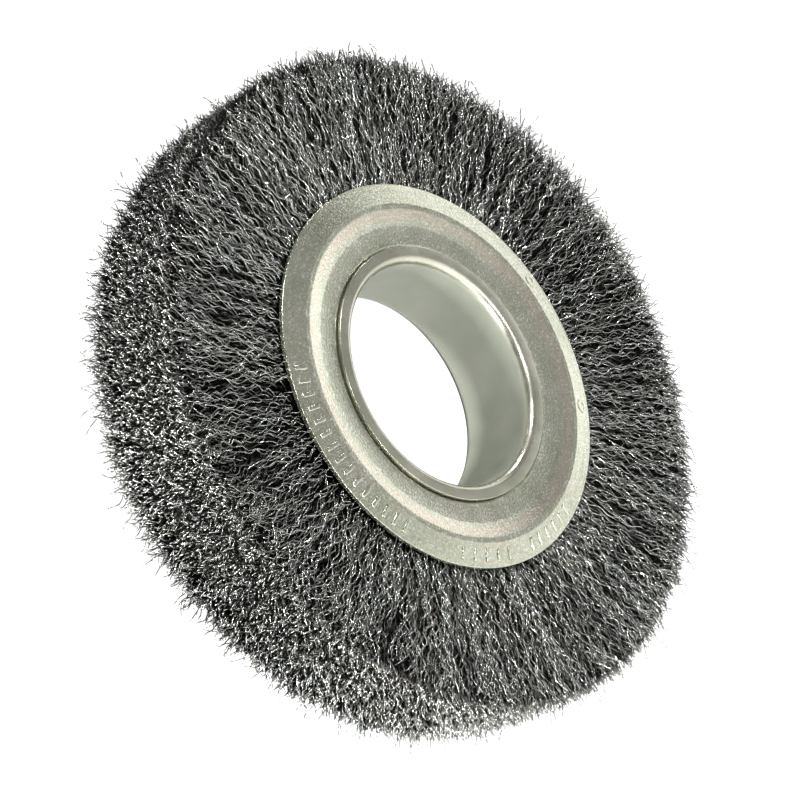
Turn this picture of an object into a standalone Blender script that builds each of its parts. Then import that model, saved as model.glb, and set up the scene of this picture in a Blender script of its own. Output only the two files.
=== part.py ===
"""Crimped wire wheel brush for a bench grinder, with a wide arbor hole.

Bunches of crimped steel wire are folded over three hidden hoops and stand out like spokes. Two dished
side plates hold them between their margins, and the ends of the arbor tube are rolled out over the plates.
The wheel turns about the Y axis, its centre is at the origin, and its front plate faces -Y.
"""
import math

import bmesh
import bpy
from mathutils import Matrix

# Driving dimensions, in metres. An offset is a distance along Y from the middle plane of the wheel.
BRUSH_RADIUS = 0.0762        # 6 in across the wire tips
FACE_HALF_WIDTH = 0.0140     # half the width of the brush at its tips
BORE_RADIUS = 0.0254         # 2 in arbor hole
LIP_TOP_OFFSET = 0.0111      # 7/8 in across the rolled lips
PLATE_RADIUS = 0.0437
PLATE_CREST_RADIUS = 0.0376
PLATE_CREST_OFFSET = 0.01195
PLATE_EDGE_OFFSET = 0.0107
PLATE_FLOOR_OFFSET = 0.01035
SHEET = 0.0010               # thickness of the plates and of the tube's wall
HOOP_WIRE_RADIUS = 0.0010
HOOP_RADIUS = 0.0302
GAP = 0.0003                 # clearance between neighbouring pieces

# What follows from them.
TUBE_RADIUS = BORE_RADIUS + SHEET
LIP_RADIUS = TUBE_RADIUS + 2.5 * SHEET
LIP_EDGE_OFFSET = LIP_TOP_OFFSET - 0.7 * SHEET
LIP_UNDER_OFFSET = LIP_EDGE_OFFSET - 0.65 * SHEET
MARGIN_OFFSET = LIP_UNDER_OFFSET - GAP
MARGIN_INNER_OFFSET = MARGIN_OFFSET - SHEET
FILL_RADIUS = TUBE_RADIUS + 2 * GAP
THROAT_HALF_WIDTH = MARGIN_INNER_OFFSET - GAP
NECK_RADIUS = PLATE_RADIUS + GAP
NECK_HALF_WIDTH = PLATE_EDGE_OFFSET - SHEET - GAP
SHOULDER_RADIUS = BRUSH_RADIUS - 0.0030
TIP_HALF_WIDTH = FACE_HALF_WIDTH - 0.0015

ROWS = ("front", "middle", "rear")
BUNCHES_PER_ROW = 12
BUNCH_STEPS = 3              # flat steps round the outside of one bunch
BUNCH_CLEARANCE = math.radians(0.7)
ROUND_STEPS = 48
HOOP_STEPS = 36
HOOP_SIDES = 6
TUNNEL_SIDES = 8
TUNNEL_RADIUS = HOOP_WIRE_RADIUS + 1.6 * GAP
SMOOTH_ANGLE = math.radians(35)


def clear_scene():
    for thing in list(bpy.data.objects):
        bpy.data.objects.remove(thing)


def metal(name, colour, roughness):
    """A metallic material with a plain colour."""
    material = bpy.data.materials.new(name)
    material.use_nodes = True
    shader = material.node_tree.nodes["Principled BSDF"]
    shader.inputs["Base Color"].default_value = (*colour, 1.0)
    shader.inputs["Metallic"].default_value = 1.0
    shader.inputs["Roughness"].default_value = roughness
    return material


def add_loop(bm, outline):
    """Draw a closed outline of (radius, offset) points in the plane Z = 0 and return its edges."""
    corners = [bm.verts.new((radius, offset, 0.0)) for radius, offset in outline]
    return [bm.edges.new((a, b)) for a, b in zip(corners, corners[1:] + corners[:1])]


def finish(bm, name, material, parent):
    """Turn the bmesh into a named object under the wheel's empty."""
    bmesh.ops.recalc_face_normals(bm, faces=bm.faces)
    mesh = bpy.data.meshes.new(name)
    bm.to_mesh(mesh)
    bm.free()
    mesh.shade_smooth()
    mesh.set_sharp_from_angle(angle=SMOOTH_ANGLE)
    piece = bpy.data.objects.new(name, mesh)
    piece.data.materials.append(material)
    piece.parent = parent
    bpy.context.scene.collection.objects.link(piece)
    return piece


def turned(name, outline, steps, material, parent):
    """Spin a closed outline a whole turn about the wheel's axis."""
    bm = bmesh.new()
    edges = add_loop(bm, outline)
    bmesh.ops.spin(bm, geom=list(bm.verts) + edges, cent=(0, 0, 0), axis=(0, 1, 0),
                   angle=2 * math.pi, steps=steps, use_merge=True)
    bmesh.ops.remove_doubles(bm, verts=bm.verts, dist=1e-6)
    return finish(bm, name, material, parent)


def polygon(radius, offset, size, sides):
    """A round section of the given size, centred at (radius, offset)."""
    turns = [2 * math.pi * (i + 0.5) / sides for i in range(sides)]
    return [(radius + size * math.cos(a), offset + size * math.sin(a)) for a in turns]


def plate_outline(side):
    """Section of a dished plate: margin under the lip, flat floor, crest, and a rim that falls away."""
    outer = [
        (TUBE_RADIUS + GAP, MARGIN_OFFSET),
        (LIP_RADIUS + GAP, MARGIN_OFFSET),
        (LIP_RADIUS + SHEET, PLATE_FLOOR_OFFSET),
        (PLATE_CREST_RADIUS - 3.7 * SHEET, PLATE_FLOOR_OFFSET),
        (PLATE_CREST_RADIUS - 0.8 * SHEET, PLATE_CREST_OFFSET - 0.15 * SHEET),
        (PLATE_CREST_RADIUS + 0.6 * SHEET, PLATE_CREST_OFFSET),
        (PLATE_RADIUS, PLATE_EDGE_OFFSET),
    ]
    inner = [(radius, offset - SHEET) for radius, offset in reversed(outer)]
    return [(radius, side * offset) for radius, offset in outer + inner]


def lip_outline():
    """Half of the tube's section: from the bore, over the rolled lip, to the wall behind it."""
    return [
        (BORE_RADIUS, LIP_EDGE_OFFSET),
        (BORE_RADIUS + 0.25 * SHEET, LIP_TOP_OFFSET - 0.2 * SHEET),
        (BORE_RADIUS + 0.9 * SHEET, LIP_TOP_OFFSET),
        (BORE_RADIUS + 2.0 * SHEET, LIP_TOP_OFFSET),
        (LIP_RADIUS - 0.5 * SHEET, LIP_TOP_OFFSET - 0.25 * SHEET),
        (LIP_RADIUS, LIP_EDGE_OFFSET),
        (LIP_RADIUS - 0.4 * SHEET, LIP_UNDER_OFFSET),
        (TUBE_RADIUS, LIP_UNDER_OFFSET),
    ]


def arbor_tube(material, parent):
    """A short tube whose two ends are rolled outwards over the plates."""
    rear = lip_outline()
    front = [(radius, -offset) for radius, offset in reversed(rear)]
    return turned("arbor_tube", front + rear, ROUND_STEPS, material, parent)


def row_centre(row):
    """Offset of a row's hoop: the rows share the throat between the plates equally."""
    return (row - 1) * 2 * THROAT_HALF_WIDTH / len(ROWS)


def bunch_outline(row):
    """Section of a bunch: narrow between the plates, flared where the wires stand free."""
    stations = [
        (FILL_RADIUS, THROAT_HALF_WIDTH),
        (LIP_RADIUS + 2 * SHEET, THROAT_HALF_WIDTH),
        (NECK_RADIUS, NECK_HALF_WIDTH),
        (SHOULDER_RADIUS, FACE_HALF_WIDTH),
        (BRUSH_RADIUS, TIP_HALF_WIDTH),
    ]
    low_share = -1 + 2 * row / len(ROWS)
    high_share = low_share + 2 / len(ROWS)
    low = [(radius, low_share * half + GAP / 2) for radius, half in stations]
    high = [(radius, high_share * half - GAP / 2) for radius, half in stations]
    return low + high[::-1]


def bunch_mesh(row, material, parent, name, start):
    """A wedge of folded wires, with a tunnel through it where its hoop runs."""
    bm = bmesh.new()
    edges = add_loop(bm, bunch_outline(row))
    edges += add_loop(bm, polygon(HOOP_RADIUS, row_centre(row), TUNNEL_RADIUS, TUNNEL_SIDES))
    bmesh.ops.triangle_fill(bm, use_beauty=True, edges=edges)
    span = 2 * math.pi / BUNCHES_PER_ROW - BUNCH_CLEARANCE
    bmesh.ops.spin(bm, geom=list(bm.verts) + list(bm.edges) + list(bm.faces), cent=(0, 0, 0),
                   axis=(0, 1, 0), angle=span, steps=BUNCH_STEPS)
    bmesh.ops.remove_doubles(bm, verts=bm.verts, dist=1e-6)
    turn = Matrix.Rotation(start + BUNCH_CLEARANCE / 2, 4, "Y")
    bmesh.ops.transform(bm, matrix=turn, verts=bm.verts)
    return finish(bm, name, material, parent)


def wire_rows(material, parent):
    """Three rows of bunches side by side; the middle row is turned by half a bunch."""
    pitch = 2 * math.pi / BUNCHES_PER_ROW
    for row, label in enumerate(ROWS):
        shift = pitch / 2 if label == "middle" else 0.0
        for i in range(BUNCHES_PER_ROW):
            name = f"wire_bunch_{label}_{i + 1:02d}"
            bunch_mesh(row, material, parent, name, i * pitch + shift)


def hoops(material, parent):
    """The closed wire rings that the bunches are folded over."""
    for row, label in enumerate(ROWS):
        section = polygon(HOOP_RADIUS, row_centre(row), HOOP_WIRE_RADIUS, HOOP_SIDES)
        turned(f"retaining_hoop_{label}", section, HOOP_STEPS, material, parent)


def main():
    clear_scene()
    zinc = metal("side_plate_zinc", (0.56, 0.57, 0.53), 0.38)
    tube_zinc = metal("arbor_tube_zinc", (0.50, 0.52, 0.47), 0.42)
    wire = metal("crimped_wire", (0.22, 0.22, 0.22), 0.40)
    hoop_steel = metal("hoop_steel", (0.35, 0.35, 0.36), 0.45)

    wheel = bpy.data.objects.new("wheel_centre", None)
    bpy.context.scene.collection.objects.link(wheel)
    turned("front_side_plate", plate_outline(-1), ROUND_STEPS, zinc, wheel)
    turned("rear_side_plate", plate_outline(1), ROUND_STEPS, zinc, wheel)
    arbor_tube(tube_zinc, wheel)
    hoops(hoop_steel, wheel)
    wire_rows(wire, wheel)


main()
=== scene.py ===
# %% [markdown]
# # A crimped wire wheel for a bench grinder
#
# The real wheel is a thick disc of fine steel wire. Each wire is crimped into small waves, folded over
# a hidden hoop near the middle and left standing out like a spoke. Two dished side plates grip the wires
# near the hub, and a short tube, rolled over at both ends, holds the plates together.
#
# The measured model comes in first as a fixed frame, and everything made here is placed from it.

# %% Load the frame
import math

import bpy
import numpy as np
from mathutils import Matrix, Quaternion, Vector


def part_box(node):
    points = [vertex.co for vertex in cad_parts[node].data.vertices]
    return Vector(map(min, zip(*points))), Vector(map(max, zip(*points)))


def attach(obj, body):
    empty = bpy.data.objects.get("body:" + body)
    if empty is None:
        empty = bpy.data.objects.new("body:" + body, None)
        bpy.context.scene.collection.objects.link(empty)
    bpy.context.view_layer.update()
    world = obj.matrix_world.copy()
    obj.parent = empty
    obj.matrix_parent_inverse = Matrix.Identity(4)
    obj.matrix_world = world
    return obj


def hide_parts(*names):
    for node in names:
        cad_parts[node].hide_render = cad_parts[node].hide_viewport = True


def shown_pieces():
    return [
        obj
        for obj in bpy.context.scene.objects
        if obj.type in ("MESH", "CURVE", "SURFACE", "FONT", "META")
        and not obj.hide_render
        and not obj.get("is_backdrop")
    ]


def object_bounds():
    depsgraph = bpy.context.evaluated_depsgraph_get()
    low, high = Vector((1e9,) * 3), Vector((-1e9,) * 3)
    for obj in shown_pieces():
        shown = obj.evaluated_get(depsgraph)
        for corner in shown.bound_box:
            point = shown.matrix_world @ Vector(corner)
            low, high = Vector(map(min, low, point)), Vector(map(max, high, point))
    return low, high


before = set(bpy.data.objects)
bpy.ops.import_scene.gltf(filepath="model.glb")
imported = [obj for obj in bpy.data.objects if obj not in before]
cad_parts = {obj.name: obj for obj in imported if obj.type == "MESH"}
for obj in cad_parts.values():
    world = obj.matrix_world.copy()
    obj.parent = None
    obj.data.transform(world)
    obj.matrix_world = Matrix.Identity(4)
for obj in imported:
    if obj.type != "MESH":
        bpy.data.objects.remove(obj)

cad_low, cad_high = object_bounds()
print("frame box, mm:", [round(1000 * (b - a), 1) for a, b in zip(cad_low, cad_high)])

# %% [markdown]
# ## Sizes
#
# The wheel turns about the Y axis and its front faces -Y. Its main sizes could be typed in again here, but
# they are read from the frame, so that they follow it if it changes. In the names, an offset is a distance
# along Y from the wheel's middle plane, and a radius is a distance from the axis.

# %% Read the main sizes
MM = 0.001
FULL_TURN = 2 * math.pi
BRUSH_RADIUS = cad_high[0]
FACE_OFFSET = cad_high[1]
PLATE_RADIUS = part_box("rear_side_plate")[1][0]
CREST_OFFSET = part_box("rear_side_plate")[1][1]
LIP_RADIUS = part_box("arbor_tube")[1][0]
LIP_TOP_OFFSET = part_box("arbor_tube")[1][1]
SHEET = 1.0 * MM
GAP = 0.3 * MM
BORE_RADIUS = LIP_RADIUS - 3.75 * SHEET
CREST_RADIUS = PLATE_RADIUS - 5.2 * MM
RIM_OFFSET = CREST_OFFSET - 1.25 * MM
FLOOR_OFFSET = CREST_OFFSET - 1.6 * MM
LIP_EDGE_OFFSET = LIP_TOP_OFFSET - 0.7 * SHEET
LIP_UNDER_OFFSET = LIP_EDGE_OFFSET - 0.65 * SHEET
GRIP_OFFSET = RIM_OFFSET - SHEET - GAP
SIDES = {"front": -1, "rear": 1}
print("radii, mm: brush", round(BRUSH_RADIUS / MM, 1), "plate", round(PLATE_RADIUS / MM, 1),
      "bore", round(BORE_RADIUS / MM, 1))

# %% [markdown]
# ## The studio
#
# The wheel is seen from the front left, a little from above, with the camera tipped over so that the wheel
# leans. A long lens from half a metre keeps the circle close to a true ellipse.

# %% Camera
CAMERA_PLACE = Vector((-0.3379, -0.3198, 0.1012))
CAMERA_AIM = Vector((-0.0024, 0.0024, -0.0002))
CAMERA_ROLL = math.radians(-39.6)
CAMERA_LENS = 99

camera = bpy.data.objects.new("camera", bpy.data.cameras.new("camera"))
camera.data.lens = CAMERA_LENS
camera.data.clip_start = 0.01
level = (CAMERA_AIM - CAMERA_PLACE).to_track_quat("-Z", "Y")
camera.rotation_mode = "QUATERNION"
camera.rotation_quaternion = level @ Quaternion((0, 0, 1), CAMERA_ROLL)
camera.location = CAMERA_PLACE
bpy.context.scene.collection.objects.link(camera)
bpy.context.scene.camera = camera
print("camera distance, mm:", round(CAMERA_PLACE.length / MM))

# %% [markdown]
# Metal shows what stands round it. The room itself could do all the lighting, but then every wire would be
# as bright as the next. So the room is only seen white, and lights the wheel dimly. A wide white panel on
# the right gives the plate its bright half, and a tall narrow strip on the left draws the line of light on
# the tube's lip. Small strong lamps draw a thin line of light on each wire.

# %% World and lamps
ROOM_SEEN, ROOM_LIGHT = 1.1, 0.12
world = bpy.data.worlds.new("white_room")
bpy.context.scene.world = world
world.use_nodes = True
sky = world.node_tree.nodes["Background"]
sky.inputs["Color"].default_value = (1, 1, 1, 1)
straight = world.node_tree.nodes.new("ShaderNodeLightPath")
either = world.node_tree.nodes.new("ShaderNodeMix")
either.inputs["A"].default_value = ROOM_LIGHT
either.inputs["B"].default_value = ROOM_SEEN
world.node_tree.links.new(straight.outputs["Is Camera Ray"], either.inputs["Factor"])
world.node_tree.links.new(either.outputs["Result"], sky.inputs["Strength"])
bpy.context.scene.view_settings.view_transform = "Standard"


def softbox(name, azimuth, elevation, distance, width, height, power):
    """A flat lamp that looks at the wheel, with its sizes in metres, its angles in degrees and its power in
    watts. Azimuth 0 is in front of the wheel and 90 on its right."""
    lamp = bpy.data.lights.new(name, "AREA")
    lamp.shape = "RECTANGLE"
    lamp.size = width
    lamp.size_y = height
    lamp.energy = power
    holder = bpy.data.objects.new(name, lamp)
    turn = math.radians(azimuth)
    climb = math.radians(elevation)
    reach = math.cos(climb)
    place = distance * Vector((math.sin(turn) * reach, -math.cos(turn) * reach, math.sin(climb)))
    holder.location = place
    holder.rotation_euler = (-place).to_track_quat("-Z", "Y").to_euler()
    bpy.context.scene.collection.objects.link(holder)


softbox("left_key", -28, 26, 0.9, 0.14, 0.14, 5)
softbox("lip_strip", -27, -14, 0.9, 0.10, 0.70, 4.6)
softbox("high_key", 8, 56, 0.9, 0.14, 0.14, 6.8)
softbox("right_key", 78, 42, 0.9, 0.14, 0.14, 3.5)
softbox("top_lamp", -95, 45, 0.9, 0.16, 0.16, 20)
softbox("left_lamp", -86, -8, 0.9, 0.16, 0.16, 18)
softbox("tread_panel", -134, 13, 0.9, 0.70, 0.70, 4.2)
softbox("right_panel", 86, -5, 0.8, 0.86, 0.80, 4.0)
softbox("front_panel", 20, -6, 1.2, 1.30, 1.30, 1.6)

# %% [markdown]
# Under the wheel there is to be nothing but white. A wall that curves into the ground is the usual way to
# get that, but a big plain floor a good way below is enough, because the room behind it is white too.

# %% Floor
FLOOR_DROP = 0.45
FLOOR_SIZE = 6
bpy.ops.object.select_all(action="DESELECT")
bpy.ops.mesh.primitive_plane_add(size=FLOOR_SIZE, location=(0, 0, -FLOOR_DROP))
floor = bpy.context.active_object
floor.name = "pale_floor"
floor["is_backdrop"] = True
print("floor drop, mm:", FLOOR_DROP / MM)

# %% [markdown]
# ## Writing materials as sums
#
# A material is a graph of nodes. Each link could be made by hand, but sums are easier to read, so a small
# class stands for one socket and adds a Math node whenever two of them meet in an expression.

# %% A class for shader sums


class Value:
    """One output socket of a material, which can be used in sums."""

    def __init__(self, finish, socket):
        self.finish = finish
        self.socket = socket

    def join(self, operation, first, second):
        return self.finish.math(operation, first, second)

    def __add__(self, other):
        return self.join("ADD", self, other)

    def __radd__(self, other):
        return self.join("ADD", other, self)

    def __sub__(self, other):
        return self.join("SUBTRACT", self, other)

    def __rsub__(self, other):
        return self.join("SUBTRACT", other, self)

    def __mul__(self, other):
        return self.join("MULTIPLY", self, other)

    def __rmul__(self, other):
        return self.join("MULTIPLY", other, self)


# %% [markdown]
# A finish is one material. Its shader could be fed node by node, but most finishes here want the same few
# things: soft noise, a colour between two others, and the distance from the wheel's axis. So each of these
# is one call.

# %% A class for finishes


class Finish:
    """A material with one Principled shader, and the calls that feed it."""

    def __init__(self, name, metallic=1.0):
        self.material = bpy.data.materials.new(name)
        self.material.use_nodes = True
        self.tree = self.material.node_tree
        self.shader = self.tree.nodes["Principled BSDF"]
        self.shader.inputs["Metallic"].default_value = metallic

    def feed(self, socket, value):
        if isinstance(value, Value):
            self.tree.links.new(value.socket, socket)
        else:
            socket.default_value = value

    def node(self, kind, settings, sockets, output=0):
        """Add a node, make its settings, feed its sockets and return one of its outputs."""
        made = self.tree.nodes.new(kind)
        for key, value in settings.items():
            setattr(made, key, value)
        for key, value in sockets.items():
            self.feed(made.inputs[key], value)
        return Value(self, made.outputs[output])

    def math(self, operation, *values):
        return self.node("ShaderNodeMath", {"operation": operation}, dict(enumerate(values)))

    def place(self):
        return self.node("ShaderNodeTexCoord", {}, {}, "Object")

    def along(self, axis):
        """Distance along one axis from the wheel's centre, in metres."""
        return self.node("ShaderNodeSeparateXYZ", {}, {0: self.place()}, axis)

    def shifted(self, distance):
        """The place moved aside, so that a second noise doesn't repeat the first."""
        return self.node("ShaderNodeVectorMath", {"operation": "ADD"}, {0: self.place(), 1: (distance,) * 3})

    def noise(self, size, detail=2.0, vector=None):
        """Soft noise from 0 to 1 whose patches are about the given size."""
        sockets = {"Vector": vector or self.place(), "Scale": 1 / size, "Detail": detail}
        return self.node("ShaderNodeTexNoise", {}, sockets)

    def spread(self, value, low, high):
        """Stretch the part of a value between low and high to run from 0 to 1."""
        return self.node("ShaderNodeMapRange", {}, {0: value, 1: low, 2: high})

    def mix(self, share, first, second):
        """A colour between two colours, which this node keeps in sockets 6 and 7 and gives in output 2."""
        sockets = {0: share, 6: first, 7: second}
        return self.node("ShaderNodeMix", {"data_type": "RGBA"}, sockets, 2)

    def bump(self, height, depth):
        """A normal for a surface that rises by depth, in metres, where height goes from 0 to 1."""
        sockets = {"Height": height, "Strength": 1.0, "Distance": depth}
        return self.node("ShaderNodeBump", {}, sockets)

    def radius(self):
        """Distance from the wheel's axis, in metres."""
        flat = self.node("ShaderNodeVectorMath", {"operation": "MULTIPLY"}, {0: self.place(), 1: (1, 0, 1)})
        return self.node("ShaderNodeVectorMath", {"operation": "LENGTH"}, {0: flat}, "Value")

    def set(self, **sockets):
        """Feed sockets of the shader, each named as on its node but in small letters."""
        for key, value in sockets.items():
            self.feed(self.shader.inputs[key.replace("_", " ").title()], value)


# %% [markdown]
# ## Finishes
#
# The floor is plain and pale. More lamps could make it white, but they would show in the metal. So it has a
# glow that only the camera sees, which keeps it as white as the room behind it.

# %% Floor finish
pale = Finish("pale_floor", 0.0)
seen = pale.node("ShaderNodeLightPath", {}, {}, "Is Camera Ray")
glow = pale.mix(seen, (0, 0, 0, 1), (1, 1, 1, 1))
pale.set(base_color=(0.8, 0.8, 0.8, 1), emission_color=glow, emission_strength=1.0)
floor.data.materials.append(pale.material)
print("nodes in the floor's finish:", len(pale.tree.nodes))

# %% [markdown]
# The wires are dark, lightly oiled carbon steel. One flat colour would make them look moulded, so soft
# noise lets the tone and the shine drift from wire to wire and along each one. Each wire also has painted
# shade, for the shade that the wires above cast deeper in the brush: it darkens as it dips below the brush's
# surface. Its cut end is bright.

# %% Wire steel
FULL_WIDTH_RADIUS = BRUSH_RADIUS - 3 * MM
FLARE = (FACE_OFFSET - GRIP_OFFSET) / (FULL_WIDTH_RADIUS - PLATE_RADIUS)
UNSHADED_TREAD = 1.0 * MM
TREAD_SHADE = 0.35
PAINTED_SHADE_DEPTH = 1.0 * MM

wire = Finish("oiled_wire_steel")
tone = wire.spread(wire.noise(1.2 * MM, 3), 0.35, 0.65)
warmth = wire.spread(wire.noise(9 * MM), 0.35, 0.65)
dark_steel = wire.mix(warmth, (0.167, 0.175, 0.163, 1), (0.178, 0.175, 0.157, 1))
bright_steel = wire.mix(warmth, (0.519, 0.54, 0.508, 1), (0.537, 0.534, 0.494, 1))
under_side = GRIP_OFFSET + FLARE * (wire.radius() - PLATE_RADIUS) - wire.math("ABSOLUTE", wire.along("Y"))
under_tread = TREAD_SHADE * (BRUSH_RADIUS - UNSHADED_TREAD - wire.radius())
# Painted shade: below the brush's surface each wire's colour darkens towards near black, for the shade of
# the wires above.
painted_depth_shade = wire.spread(wire.math("MINIMUM", under_side, under_tread), 0.0, PAINTED_SHADE_DEPTH)
unshaded_steel = wire.mix(tone, dark_steel, bright_steel)
# The near-black colour here is the painted shade deep in the brush.
wire.set(base_color=wire.mix(painted_depth_shade, unshaded_steel, (0.012, 0.012, 0.011, 1)))
wire.set(roughness=0.15 + 0.08 * (1 - tone) + 0.2 * painted_depth_shade)

cut_end = Finish("cut_wire_end")
shear = cut_end.noise(0.3 * MM, 2)
cut_end.set(base_color=cut_end.mix(shear, (0.42, 0.42, 0.40, 1), (0.80, 0.80, 0.77, 1)), roughness=0.42)
print("slope of the side wires:", round(FLARE, 3), "nodes in their finish:", len(wire.tree.nodes))

# %% [markdown]
# Between the wires that are modelled one by one lie many more, packed too deep to tell apart. They are one
# body, painted near black for the shade that fills the brush down there. Lighter streaks that run outwards,
# made from noise stretched along the radius, stand for the wires' steel, and they sway from side to side as
# crimped wires do.

# %% Packed wire finish
SWAY_PITCH = 4.7 * MM
SWAY_SWING = 0.5 * MM
STREAK_WIDTH = 0.55 * MM
STREAK_STRETCH = 0.15

packed = Finish("packed_wire_steel_and_painted_shade")
sway = packed.math("SINE", packed.radius() * (FULL_TURN / SWAY_PITCH) + 9 * packed.noise(4 * MM))
angle = packed.math("ARCTAN2", packed.along("Z"), packed.along("X"))
around = BRUSH_RADIUS * angle + SWAY_SWING * sway
outwards = STREAK_STRETCH * packed.radius()
spoke = packed.node("ShaderNodeCombineXYZ", {}, {"X": around, "Y": outwards, "Z": packed.along("Y")})
streak = packed.spread(packed.noise(STREAK_WIDTH, 1, spoke), 0.46, 0.66)
# Painted shade: the near-black between the lighter streaks is the shade deep inside the brush; the streaks
# are the wires' steel.
packed.set(base_color=packed.mix(streak, (0.012, 0.012, 0.011, 1), (0.30, 0.30, 0.28, 1)), roughness=0.4)
packed.set(normal=packed.bump(streak, 0.3 * MM))
print("nodes in the packed wires' finish:", len(packed.tree.nodes))

# %% [markdown]
# Three hoops of plain steel wire lie hidden inside, where the crimped wires fold round them. Their shape in
# the frame is right, so they stay as they are, and only their material is changed. Handling leaves such
# wire mottled, which uneven colour and shine are enough to show.

# %% Hoop steel
hoop_steel = Finish("hoop_wire_steel")
mottle = hoop_steel.spread(hoop_steel.noise(2 * MM, 3), 0.35, 0.65)
hoop_steel.set(base_color=hoop_steel.mix(mottle, (0.30, 0.30, 0.28, 1), (0.48, 0.47, 0.44, 1)))
hoop_steel.set(roughness=0.30 + 0.15 * mottle, normal=hoop_steel.bump(mottle, 0.02 * MM))
for place in ("front", "middle", "rear"):
    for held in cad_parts[f"retaining_hoop_{place}"].material_slots:
        held.material = hoop_steel.material

# %% [markdown]
# The side plates are stamped from zinc-plated sheet. The plating has fine grain, cloudy patches and faint
# rings of straw and green that follow the press tool round, with one broader tan ring on the cone. The
# rings could be painted on, but noise that reads the distance from the axis already runs all the way round,
# and the cloudy patches push it a little in and out.

# %% Zinc sheet
TAN_RING_RADIUS = CREST_RADIUS - 2.0 * MM

zinc = Finish("zinc_sheet", 0.9)
grain = zinc.noise(0.42 * MM, 3)
cloud = zinc.spread(zinc.noise(5 * MM, 3), 0.3, 0.7)
stain = zinc.spread(zinc.noise(6.5 * MM, 2, zinc.shifted(0.3)), 0.42, 0.66)
ringed = zinc.node("ShaderNodeCombineXYZ", {}, {"X": zinc.radius() + 0.6 * MM * cloud})
rings = zinc.spread(zinc.noise(0.9 * MM, 2, ringed), 0.35, 0.65)
green_zinc = zinc.mix(cloud, (0.29, 0.345, 0.265, 1), (0.375, 0.43, 0.35, 1))
straw_zinc = zinc.mix(cloud, (0.395, 0.375, 0.265, 1), (0.45, 0.425, 0.34, 1))
plated = zinc.mix(rings, green_zinc, straw_zinc)
stained = zinc.mix(0.3 * stain, plated, (0.49, 0.43, 0.37, 1))
off_ring = zinc.math("ABSOLUTE", zinc.radius() + 0.8 * MM * cloud - TAN_RING_RADIUS)
tan_ring = zinc.spread(off_ring, 1.7 * MM, 0.4 * MM)
banded = zinc.mix(0.5 * tan_ring, stained, (0.52, 0.42, 0.345, 1))
light_speck = zinc.spread(grain, 0.50, 0.68)
dark_speck = zinc.spread(zinc.noise(0.5 * MM, 3, zinc.shifted(0.7)), 0.50, 0.66)
flecked = zinc.mix(0.55 * light_speck, banded, (0.74, 0.735, 0.70, 1))
zinc.set(base_color=zinc.mix(0.5 * dark_speck, flecked, (0.25, 0.26, 0.19, 1)))
zinc.set(roughness=0.16 + 0.06 * cloud + 0.08 * light_speck)
zinc.set(normal=zinc.bump(grain + 0.2 * rings, 0.07 * MM))
print("nodes in the sheet's finish:", len(zinc.tree.nodes))

# %% [markdown]
# The tube has the same plating with hardly any grain. Its drawn bore is dull and dark, and its rolled lips
# are rubbed bright. Two materials could do that, but then a hard line would part them. So one material reads
# the distance from the axis, and changes over where the bore begins to turn outwards.

# %% Zinc tube
tube_zinc = Finish("zinc_tube", 0.8)
haze = tube_zinc.spread(tube_zinc.noise(7 * MM, 2), 0.3, 0.7)
fine = tube_zinc.noise(0.4 * MM, 3)
rolled = tube_zinc.spread(tube_zinc.radius(), BORE_RADIUS + 0.02 * MM, BORE_RADIUS + 0.25 * MM)
drawn_tone = tube_zinc.mix(haze, (0.209, 0.223, 0.177, 1), (0.245, 0.256, 0.209, 1))
rolled_tone = tube_zinc.mix(haze, (0.335, 0.34, 0.268, 1), (0.421, 0.408, 0.344, 1))
tube_zinc.set(base_color=tube_zinc.mix(rolled, drawn_tone, rolled_tone))
tube_zinc.set(metallic=0.35 + 0.55 * rolled, roughness=0.55 - 0.33 * rolled + 0.08 * haze)
tube_zinc.set(normal=tube_zinc.bump(fine, 0.02 * MM))
print("nodes in the tube's finish:", len(tube_zinc.tree.nodes))

# %% [markdown]
# ## Plates and tube
#
# Each of these is a turned shape: a section carried once round the axis. It could be spun from a drawn
# section. Here a circle is extruded ring by ring along the section instead, because each step is then
# a move and a resize that can be seen, and the last ring is bridged to the first.

# %% Turn a section into a ring
BEVEL_STEPS = 3
CORNER_ANGLE = math.radians(10)


def turned(name, section, sides, soften):
    """Carry a closed section of (radius, y) points round the axis and round its corners off."""
    bpy.ops.object.select_all(action="DESELECT")
    radius, y = section[0]
    bpy.ops.mesh.primitive_circle_add(vertices=sides, radius=radius, location=(0, y, 0),
                                      rotation=(math.pi / 2, 0, 0))
    piece = bpy.context.active_object
    piece.name = name
    bpy.ops.object.mode_set(mode="EDIT")
    bpy.ops.mesh.select_all(action="SELECT")
    for (radius, y), (next_radius, next_y) in zip(section, section[1:]):
        bpy.ops.mesh.extrude_region_move(TRANSFORM_OT_translate={"value": (0, next_y - y, 0)})
        grow = next_radius / radius
        bpy.ops.transform.resize(value=(grow, 1, grow), center_override=(0, 0, 0))
    bpy.ops.mesh.select_all(action="DESELECT")
    bpy.ops.mesh.select_non_manifold()
    bpy.ops.mesh.bridge_edge_loops()
    bpy.ops.mesh.select_all(action="SELECT")
    bpy.ops.mesh.normals_make_consistent(inside=False)
    bpy.ops.object.mode_set(mode="OBJECT")
    bpy.ops.object.transform_apply(location=True, rotation=True, scale=True)
    bpy.ops.object.shade_smooth()
    if soften:
        bevel = piece.modifiers.new("rounded_corners", "BEVEL")
        bevel.width = soften
        bevel.segments = BEVEL_STEPS
        bevel.limit_method = "ANGLE"
        bevel.angle_limit = CORNER_ANGLE
        bpy.ops.object.modifier_apply(modifier=bevel.name)
    flatten = piece.modifiers.new("flats_stay_flat", "WEIGHTED_NORMAL")
    bpy.ops.object.modifier_apply(modifier=flatten.name)
    print(name, "faces:", len(piece.data.polygons))
    return piece


# %% [markdown]
# The wheel has no moving joint, so every piece rides on the one body. A piece could be handed over where it
# is made, but the same calls would be written again each time, so one helper makes them all.

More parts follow.
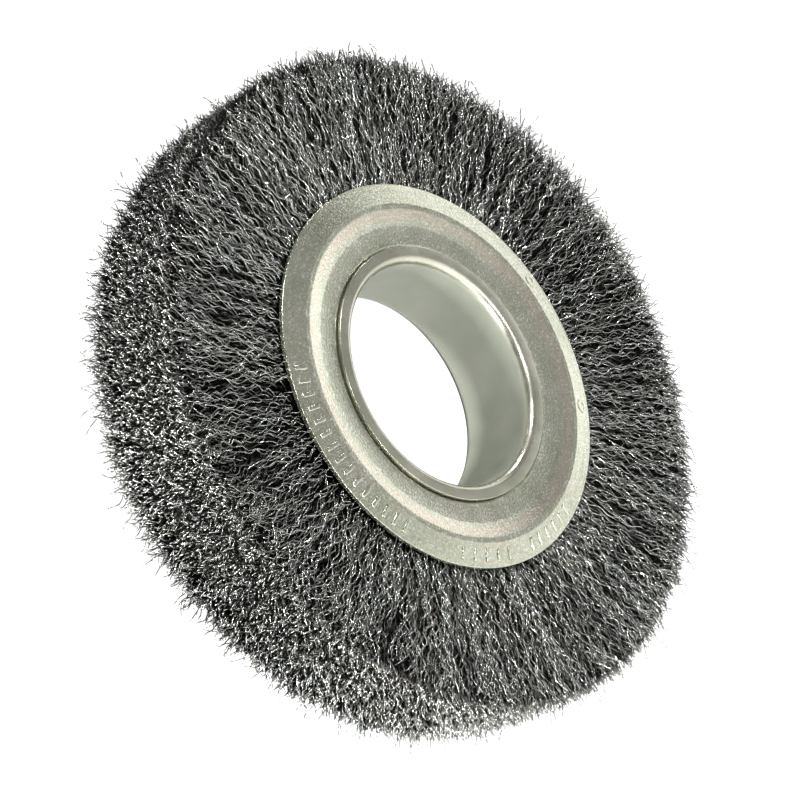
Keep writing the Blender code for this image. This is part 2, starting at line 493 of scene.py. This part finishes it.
# %% Dress a piece


def dress(piece, material, slot, *nodes):
    """Give a piece its material and hide the frame nodes that it stands for. The slot is not used."""
    piece.data.materials.clear()
    piece.data.materials.append(material)
    if material is wire.material:
        piece.data.materials.append(cut_end.material)
    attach(piece, "root")
    if nodes:
        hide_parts(*nodes)


# %% [markdown]
# A side plate starts flat under the tube's lip, steps up to a flat floor, climbs a straight cone to a crest
# and falls away to its rim. Sheet metal never folds sharply, so its corners are rounded off with a bevel.

# %% Side plates
ROUND_SIDES = 256
FOLD_WIDTH = 0.14 * MM
CONE_FOOT = CREST_RADIUS - 4.7 * MM
CONE_TOP = CREST_RADIUS - 1.1 * MM


def plate_section(side):
    """Section of one plate: its outer face from the lip to the rim, then its inner face back again."""
    outer = [(BORE_RADIUS + SHEET + GAP, LIP_UNDER_OFFSET - GAP),
             (LIP_RADIUS - 0.35 * MM, LIP_UNDER_OFFSET - GAP),
             (LIP_RADIUS + 0.06 * MM, FLOOR_OFFSET - 0.35 * MM), (LIP_RADIUS + 0.65 * MM, FLOOR_OFFSET),
             (CONE_FOOT - 2.6 * MM, FLOOR_OFFSET), (CONE_FOOT, FLOOR_OFFSET + 0.35 * MM),
             (CONE_TOP, CREST_OFFSET - 0.08 * MM), (CREST_RADIUS, CREST_OFFSET), (PLATE_RADIUS, RIM_OFFSET)]
    inner = [(radius, offset - SHEET) for radius, offset in reversed(outer)]
    return [(radius, side * offset) for radius, offset in outer + inner]


for label, side in SIDES.items():
    plate = turned(f"{label}_stamped_plate", plate_section(side), ROUND_SIDES, FOLD_WIDTH)
    dress(plate, zinc.material, "side_plate_zinc", f"{label}_side_plate")

# %% [markdown]
# The real rim is stamped with wording, which is left out. Plain ridges stand in its place, and two plain
# rings for two small round marks. A ridge is modelled once, then copied to each place on the sloping rim.

# %% Ridges and rings on the rims
RIM_SLOPE = math.atan2(CREST_OFFSET - RIM_OFFSET, PLATE_RADIUS - CREST_RADIUS)
RIM_MIDDLE = (CREST_RADIUS + PLATE_RADIUS) / 2
RIDGE_TURNS = [*np.linspace(143, 199, 15), *np.linspace(221, 240, 5), *np.linspace(251, 272, 6)]
RING_TURNS = [356, 312]
RIDGE_SIZE = (2.9 * MM, 0.56 * MM, 1.0 * MM)


def ridge():
    """A soft bar that lies along X and rises along Y."""
    bpy.ops.object.select_all(action="DESELECT")
    bpy.ops.mesh.primitive_cube_add(size=1)
    bpy.ops.transform.resize(value=RIDGE_SIZE)
    bpy.ops.object.transform_apply(location=True, rotation=True, scale=True)
    bar = bpy.context.active_object
    bevel = bar.modifiers.new("soft_edges", "BEVEL")
    bevel.width = 0.22 * MM
    bevel.segments = BEVEL_STEPS
    bpy.ops.object.modifier_apply(modifier=bevel.name)
    return bar


def on_the_rim(sample, turn, side):
    """A copy of a mark, laid on the slope of one rim, a little of it sunk into the sheet."""
    copy = sample.copy()
    copy.data = sample.data.copy()
    bpy.context.scene.collection.objects.link(copy)
    place = Vector((RIM_MIDDLE, side * (CREST_OFFSET + RIM_OFFSET) / 2, 0))
    copy.data.transform(Matrix.Rotation(-side * RIM_SLOPE, 4, "Z"))
    copy.data.transform(Matrix.Translation(place))
    copy.data.transform(Matrix.Rotation(-math.radians(turn), 4, "Y"))
    return copy


bar = ridge()
ring_edge = [(0.8 * MM, -0.15 * MM), (0.8 * MM, 0.12 * MM), (1.2 * MM, 0.28 * MM), (1.6 * MM, 0.12 * MM),
             (1.6 * MM, -0.15 * MM)]
ring = turned("ring_mark", ring_edge, 24, 0)
for label, side in SIDES.items():
    marks = [on_the_rim(bar, turn, side) for turn in RIDGE_TURNS]
    marks += [on_the_rim(ring, turn, side) for turn in RING_TURNS]
    bpy.ops.object.select_all(action="DESELECT")
    for mark in marks:
        mark.select_set(True)
    bpy.context.view_layer.objects.active = marks[0]
    bpy.ops.object.join()
    marks[0].name = f"{label}_rim_marks"
    bpy.ops.object.shade_smooth_by_angle(angle=math.radians(40))
    dress(marks[0], zinc.material, "side_plate_zinc")
for sample in (bar, ring):
    bpy.data.objects.remove(sample)
print("marks on each rim:", len(RIDGE_TURNS) + len(RING_TURNS))

# %% [markdown]
# The tube's ends are rolled outwards into flat lips that hold the plates. A bevel would make the roll too
# tight, so part of an ellipse carries the section from the bore to the flat of the lip, and a small slope
# takes the sharpness off its outer edge.

# %% Arbor tube with rolled lips
ROLL_REACH = 1.7 * MM
ROLL_DEPTH = 2.6 * MM
EDGE_SLOPE = 0.14 * MM


def lip_section():
    """Section of the rear lip, from the bore over its flat top to the underside."""
    inner_roll = [(BORE_RADIUS + ROLL_REACH * (1 - math.cos(bend)),
                   LIP_TOP_OFFSET - ROLL_DEPTH * (1 - math.sin(bend)))
                  for bend in np.radians([0, 13, 26, 39, 52, 65, 78, 90])]
    outer_edge = [(LIP_RADIUS - EDGE_SLOPE, LIP_TOP_OFFSET), (LIP_RADIUS, LIP_TOP_OFFSET - EDGE_SLOPE),
                  (LIP_RADIUS, FLOOR_OFFSET - 0.4 * MM), (LIP_RADIUS - 0.5 * MM, LIP_UNDER_OFFSET),
                  (BORE_RADIUS + SHEET, LIP_UNDER_OFFSET)]
    return inner_roll + outer_edge


rear_lip = lip_section()
front_lip = [(radius, -y) for radius, y in reversed(rear_lip)]
tube = turned("rolled_arbor_tube", front_lip + rear_lip, ROUND_SIDES, 0)
dress(tube, tube_zinc.material, "arbor_tube_zinc", "arbor_tube")

# %% [markdown]
# ## Packed wires
#
# The body of packed wires, painted dark for the shade deep in the brush, lies a little under the outermost
# ones, so that the gaps between those show it.

# %% Imported body
SINK = 2.1 * MM
PACKED_RADIUS = BRUSH_RADIUS - 5.2 * MM
SHOULDER = 3 * MM
BODY_SIDES = 128
half_section = [(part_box("retaining_hoop_middle")[1][0] + GAP, GRIP_OFFSET - SINK),
                (PLATE_RADIUS, GRIP_OFFSET - SINK),
                (PACKED_RADIUS - SHOULDER, FACE_OFFSET - SINK - 1.0 * MM),
                (PACKED_RADIUS, FACE_OFFSET - SINK - SHOULDER)]
front_half = [(radius, -y) for radius, y in half_section]
body = turned("packed_wire_body", front_half + half_section[::-1], BODY_SIDES, 0)
dress(body, packed.material, "crimped_wire")

# %% [markdown]
# ## One crimped wire
#
# A wire is a triangle extruded in small steps along a wave. A curve with a bevel would be rounder, but the
# brush has thousands of wires, and three sides shaded smooth already catch the light like a round one.

# %% Crimp a wire
WIRE_RADIUS = 0.14 * MM
CRIMP_PITCH = 5.0 * MM
CRIMP_SWING = 0.56 * MM
CRIMP_STARTS = 10
PITCH_RANGE = (0.8, 1.2)
SWING_RANGE = (0.6, 1.3)
rng = np.random.default_rng(7)


def crimped_wire(length, rings, pitch, swing, start):
    """Model one wavy wire that runs up Z and return its points and faces."""
    bpy.ops.object.select_all(action="DESELECT")
    bpy.ops.mesh.primitive_circle_add(vertices=3, radius=WIRE_RADIUS, fill_type="NGON")
    sample = bpy.context.active_object
    rise = length / rings
    wave = [swing * math.sin(FULL_TURN * step * rise / pitch + start) for step in range(rings + 1)]
    bpy.ops.object.mode_set(mode="EDIT")
    bpy.ops.mesh.select_all(action="SELECT")
    for here, there in zip(wave, wave[1:]):
        bpy.ops.mesh.extrude_region_move(TRANSFORM_OT_translate={"value": (there - here, 0, rise)})
    bpy.ops.mesh.select_all(action="SELECT")
    bpy.ops.mesh.normals_make_consistent(inside=False)
    bpy.ops.object.mode_set(mode="OBJECT")
    mesh = sample.data
    points = np.array([corner.co for corner in mesh.vertices])
    faces = [tuple(face.vertices) for face in mesh.polygons]
    bpy.data.objects.remove(sample)
    bpy.data.meshes.remove(mesh)
    return points, faces


def crimped_set(length, rings):
    """Wires of one length whose crimps start at even steps of the wave: (wire, point, xyz), and faces."""
    made = []
    for step in range(CRIMP_STARTS):
        pitch = CRIMP_PITCH * rng.uniform(*PITCH_RANGE)
        swing = CRIMP_SWING * rng.uniform(*SWING_RANGE)
        made.append(crimped_wire(length, rings, pitch, swing, FULL_TURN * step / CRIMP_STARTS))
    return np.array([points for points, _ in made]), made[0][1]


inner_set = crimped_set(18 * MM, 19)
outer_set = crimped_set(19 * MM, 20)
short_set = crimped_set(12 * MM, 13)
tip_set = crimped_set(6.5 * MM, 5)
print("faces in an outer wire:", len(outer_set[1]), "and in a tip:", len(tip_set[1]))

# %% [markdown]
# ## Laying the wires
#
# Hair particles could spread the wires, but they give little say in how each one lies. So the samples are
# copied by array sums. Every copy is turned about its own length, stretched from its root to its tip,
# slanted and bent, and neighbours share a slow drift, so that they gather in locks as real crimped wires do.

# %% Locks and leans
LOCK_WAVES = 5
CROSSING_SHARE = 0.06
CROSSING_LEAN = 2.5
MOST_LEAN = 0.55


def lock(turn, radius, seed):
    """A smooth drift from -1 to 1 that neighbouring wires share, made of waves with whole turns."""
    waves = np.random.default_rng(seed)
    total = np.zeros(np.broadcast(turn, radius).shape)
    for _ in range(LOCK_WAVES):
        round_the_wheel = int(waves.integers(9, 75))
        outwards = waves.uniform(-260, 260)
        total += np.sin(round_the_wheel * turn + outwards * radius + waves.uniform(0, FULL_TURN))
    return total / LOCK_WAVES


def leans(count, spread):
    """Slant of each wire round the wheel. Most lie close to a spoke, and a few cross the others."""
    slant = rng.normal(0, spread, count)
    crossing = rng.random(count) < CROSSING_SHARE
    slant[crossing] *= CROSSING_LEAN
    return np.clip(slant, -MOST_LEAN, MOST_LEAN)


def evenly(count, low, high):
    """Values spread evenly from one end to the other, each a little off its place."""
    return low + (high - low) * (np.arange(count) + rng.random(count)) / count


# %% [markdown]
# Work wears a brush unevenly, and a few wires always stand out. The tips could all end on one circle with
# some noise, but that looks machined. So smooth humps change how far the tips reach round the wheel, the
# ones near a side stop short to round the brush off, and some are let grow.

# %% The worn outline
TIP_INSET = 1.4 * MM
EDGE_ROUNDING = 3.5 * MM
EDGE_WIDTH = 1.5 * MM
LONG_SHARE = 0.08
LONGEST_REACH = 4.5 * MM


def lobe(turn, centre, width):
    """A smooth hump of height 1 at one angle, which meets itself again after a full turn."""
    return np.exp((np.cos(turn - math.radians(centre)) - 1) / width ** 2)


def worn(turn):
    """The brush isn't quite round: it is worn short on one side and stands proud on two others."""
    ragged = 0.4 + rng.random(len(turn)) ** 2
    right = 2.8 * MM * lobe(turn, 2, 0.27) * ragged
    left = 1.2 * MM * lobe(turn, 204, 0.12)
    top = 2.1 * MM * lobe(turn, 265, 0.32)
    return right + left - top - 0.5 * MM


def tips(inset, ragged, longest):
    """Radius of each wire's tip, from its distance in from the nearer side. The brush is rounded off where
    its side turns into its tread."""
    count = len(inset)
    rounding = EDGE_ROUNDING * np.exp(-inset / EDGE_WIDTH)
    radius = BRUSH_RADIUS - TIP_INSET - rounding + rng.normal(0, ragged, count)
    grown = rng.random(count) < LONG_SHARE
    radius[grown] += rng.uniform(0, longest, grown.sum())
    return np.minimum(radius, BRUSH_RADIUS + LONGEST_REACH)


# %% [markdown]
# One object for each wire would be slow to draw, so a whole layer of copies becomes one mesh. An operator
# could join the copies one by one, but writing all their points at once takes a moment instead of minutes.

# %% Copies into one mesh


def joined(name, points, faces):
    """One mesh from an array of copies (copy, point, xyz) that share their faces; cut ends stay flat."""
    copies, size = points.shape[:2]
    corners = np.array([corner for face in faces for corner in face], np.int32)
    lengths = np.array([len(face) for face in faces], np.int32)
    loops = (corners + size * np.arange(copies, dtype=np.int32)[:, None]).ravel()
    ends = np.cumsum(np.tile(lengths, copies))
    mesh = bpy.data.meshes.new(name)
    mesh.vertices.add(copies * size)
    mesh.vertices.foreach_set("co", points.astype(np.float32).ravel())
    mesh.loops.add(len(loops))
    mesh.loops.foreach_set("vertex_index", loops)
    mesh.polygons.add(len(ends))
    mesh.polygons.foreach_set("loop_start", np.concatenate([[0], ends[:-1]]).astype(np.int32))
    mesh.update(calc_edges=True)
    mesh.polygons.foreach_set("use_smooth", np.tile(lengths == 4, copies))
    mesh.polygons.foreach_set("material_index", np.tile((lengths == 3).astype(np.int32), copies))
    piece = bpy.data.objects.new(name, mesh)
    bpy.context.scene.collection.objects.link(piece)
    return piece


# %% [markdown]
# The copies are held as an array with one row for each wire, so a few lines of sums place thousands of wires
# at once. Close to the plates the wires are held fast, and the locks pull them about more and more as they
# run out. Each wire's last part curls one way or the other, and its ends can dive under its neighbours.

# %% Lay copies round the wheel
LOCKS = 4
DRIFT = 0.8 * MM
SWELL = 0.3 * MM
CURL = 2.8 * MM
MOST_CURL = 1.8
BOW_AROUND = 1.7 * MM
BOW_ALONG = 0.4 * MM
WHOLE_WIRE = 33 * MM
END_SHARE = 0.3
MIXED_CRIMPS = 0.3
MIXED_SPIN = 0.9


def column(values):
    """One value for each wire, stood up so that it meets every point of that wire."""
    return values[:, None]


def bow(count, share, size):
    """A gentle random bend along each wire."""
    waves = column(rng.uniform(0.5, 2.0, count))
    return column(rng.normal(0, size, count)) * np.sin(math.pi * share * waves)


def drift(turn, radius, group, seed):
    """The drift of each wire's own lock at every point of the wire."""
    return sum(np.where(group == member, lock(turn, radius, seed + member), 0) for member in range(LOCKS))


def lay(name, wires, span, root, tip, offset, lean, flare, seed, dive=(0, 0)):
    """Copy wires over part of the wheel. span is its first and last angle, and seed picks its locks. Root
    and tip radius, offset at the root and slant round and along the wheel have an entry for each wire. dive
    is how far along the wheel a wire bends at its root and at its tip, to slip under its neighbours."""
    samples, faces = wires
    count = len(root)
    turn = column(evenly(count, *span))
    nested = lock(turn[:, 0], root, seed + 90) + root / CRIMP_PITCH + rng.normal(0, MIXED_CRIMPS, count)
    local = samples[np.floor(nested * CRIMP_STARTS).astype(int) % CRIMP_STARTS]
    length = samples[0][:, 2].max()
    share = local[:, :, 2] / length
    near_root = np.maximum(1 - share / END_SHARE, 0) ** 2
    near_tip = np.maximum((share - 1) / END_SHARE + 1, 0) ** 2
    reach = share * column(tip - root)
    spin = column(rng.normal(0, MIXED_SPIN, count))
    radius = column(root) + reach
    group = column(rng.integers(0, LOCKS, count))
    free = np.clip((radius - PLATE_RADIUS) / (BRUSH_RADIUS - PLATE_RADIUS), 0, 1)
    bend = length / WHOLE_WIRE
    curl = CURL * bend * column(np.clip(rng.normal(0, 1, count), -MOST_CURL, MOST_CURL)) * near_tip
    around = local[:, :, 0] * np.cos(spin) - local[:, :, 1] * np.sin(spin)
    around += column(lean) * reach + DRIFT * drift(turn, radius, group, seed) * free
    around += bow(count, share, BOW_AROUND * bend) + curl
    along = local[:, :, 0] * np.sin(spin) + local[:, :, 1] * np.cos(spin)
    along += column(offset) + column(flare) * reach + SWELL * drift(turn, radius, group, seed + LOCKS) * free
    along += bow(count, share, BOW_ALONG * bend)
    along += dive[0] * near_root + dive[1] * near_tip
    x = radius * np.cos(turn) - around * np.sin(turn)
    z = -radius * np.sin(turn) - around * np.cos(turn)
    return joined(name, np.stack([x, along, z], axis=-1), faces)


# %% [markdown]
# The side of the brush flares from the plate's rim to its full width. A real wire runs the whole way, but
# only the part that lies on top is seen, so three shorter kinds overlap instead: inner ones start under
# the rim and dive out of sight half way, and outer and short ones come up between them as the circle grows.

# %% Wires on the two sides
SECTORS = 6
SIDE_DIVE = 2.0 * MM
TUFT = 1.2 * MM
# For each layer: the samples, wires in a sector, how far out from the plate's rim and how deep their roots
# lie, how much they slant, and how far they dive at the root and at the tip.
SIDE_LAYERS = {
    "inner": (inner_set, 365, (-1.7 * MM, -0.3 * MM), (0.0 * MM, 2.2 * MM), 0.20, (0, -SIDE_DIVE)),
    "outer": (outer_set, 410, (6.3 * MM, 15.3 * MM), (0.0 * MM, 2.4 * MM), 0.24, (-SIDE_DIVE, 0)),
    "short": (short_set, 340, (15.3 * MM, 22.3 * MM), (0.2 * MM, 2.6 * MM), 0.27, (-SIDE_DIVE, 0)),
}


def side_wires(label, side, layer, sector):
    """One layer of wires in one sector of one side."""
    wires, count, roots, depths, spread, dive = SIDE_LAYERS[layer]
    span = (FULL_TURN * sector / SECTORS, FULL_TURN * (sector + 1) / SECTORS)
    turn = np.linspace(*span, count)
    root = PLATE_RADIUS + rng.uniform(*roots, count)
    depth = rng.uniform(*depths, count)
    start = GRIP_OFFSET + np.maximum(root - PLATE_RADIUS, 0) * FLARE - depth
    flare = FLARE + rng.normal(0, 0.02, count)
    if layer == "inner":
        tip = root + rng.uniform(13 * MM, 24 * MM, count)
    else:
        tip = tips(depth, 1.5 * MM, 2.8 * MM) + worn(turn) + TUFT * lock(turn, root, 200 + 50 * side)
    return lay(f"{label}_{layer}_wires_{sector + 1}", wires, span, root, tip, side * start,
               leans(count, spread), side * flare, 100 + 50 * side, [side * bend for bend in dive])


for label, side in SIDES.items():
    for sector in range(SECTORS):
        bunches = [f"wire_bunch_{label}_{2 * sector + half:02d}" for half in (1, 2)]
        dress(side_wires(label, side, "inner", sector), wire.material, "crimped_wire", *bunches)
        dress(side_wires(label, side, "outer", sector), wire.material, "crimped_wire")
        dress(side_wires(label, side, "short", sector), wire.material, "crimped_wire")
print("wires on each side:", SECTORS * sum(layer[1] for layer in SIDE_LAYERS.values()))

# %% [markdown]
# On the tread only the last few millimetres of each wire show, with its cut end. Those near the sides lean
# outwards and stop shorter, which rounds the edge of the brush.

# %% Wires on the tread
TREAD_SECTORS = 4
TREAD_COUNT = 3500
TREAD_START = math.radians(15)
TREAD_SHARE = 0.93
GOLDEN_STEP = 0.618034
TREAD_FLARE = 0.16
# Steps of the golden section spread the wires over the tread's width without any rows.
across = TREAD_SHARE * (2 * (GOLDEN_STEP * np.arange(TREAD_COUNT) % 1) - 1)
for sector in range(TREAD_SECTORS):
    start = TREAD_START + FULL_TURN * sector / TREAD_SECTORS
    span = (start, start + FULL_TURN / TREAD_SECTORS)
    root = PACKED_RADIUS - rng.uniform(1 * MM, 2.4 * MM, TREAD_COUNT)
    turn = np.linspace(*span, TREAD_COUNT)
    tip = tips((1 - abs(across)) * FACE_OFFSET, 0.7 * MM, 1.5 * MM) + worn(turn)
    lean = leans(TREAD_COUNT, 0.12)
    flare = TREAD_FLARE * across + rng.normal(0, 0.10, TREAD_COUNT)
    offset = across * FACE_OFFSET
    fringe = lay(f"tread_wires_{sector + 1}", tip_set, span, root, tip, offset, lean, flare, 300)
    bunches = [f"wire_bunch_middle_{3 * sector + third:02d}" for third in (1, 2, 3)]
    dress(fringe, wire.material, "crimped_wire", *bunches)
print("wires on the tread:", TREAD_SECTORS * TREAD_COUNT)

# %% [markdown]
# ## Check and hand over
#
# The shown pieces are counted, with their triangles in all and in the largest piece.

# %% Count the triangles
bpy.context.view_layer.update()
shown = [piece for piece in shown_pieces() if piece.type == "MESH"]
counts = {piece.name: sum(len(face.vertices) - 2 for face in piece.data.polygons) for piece in shown}
print("pieces:", len(shown), "triangles:", sum(counts.values()), "largest:", max(counts.values()))
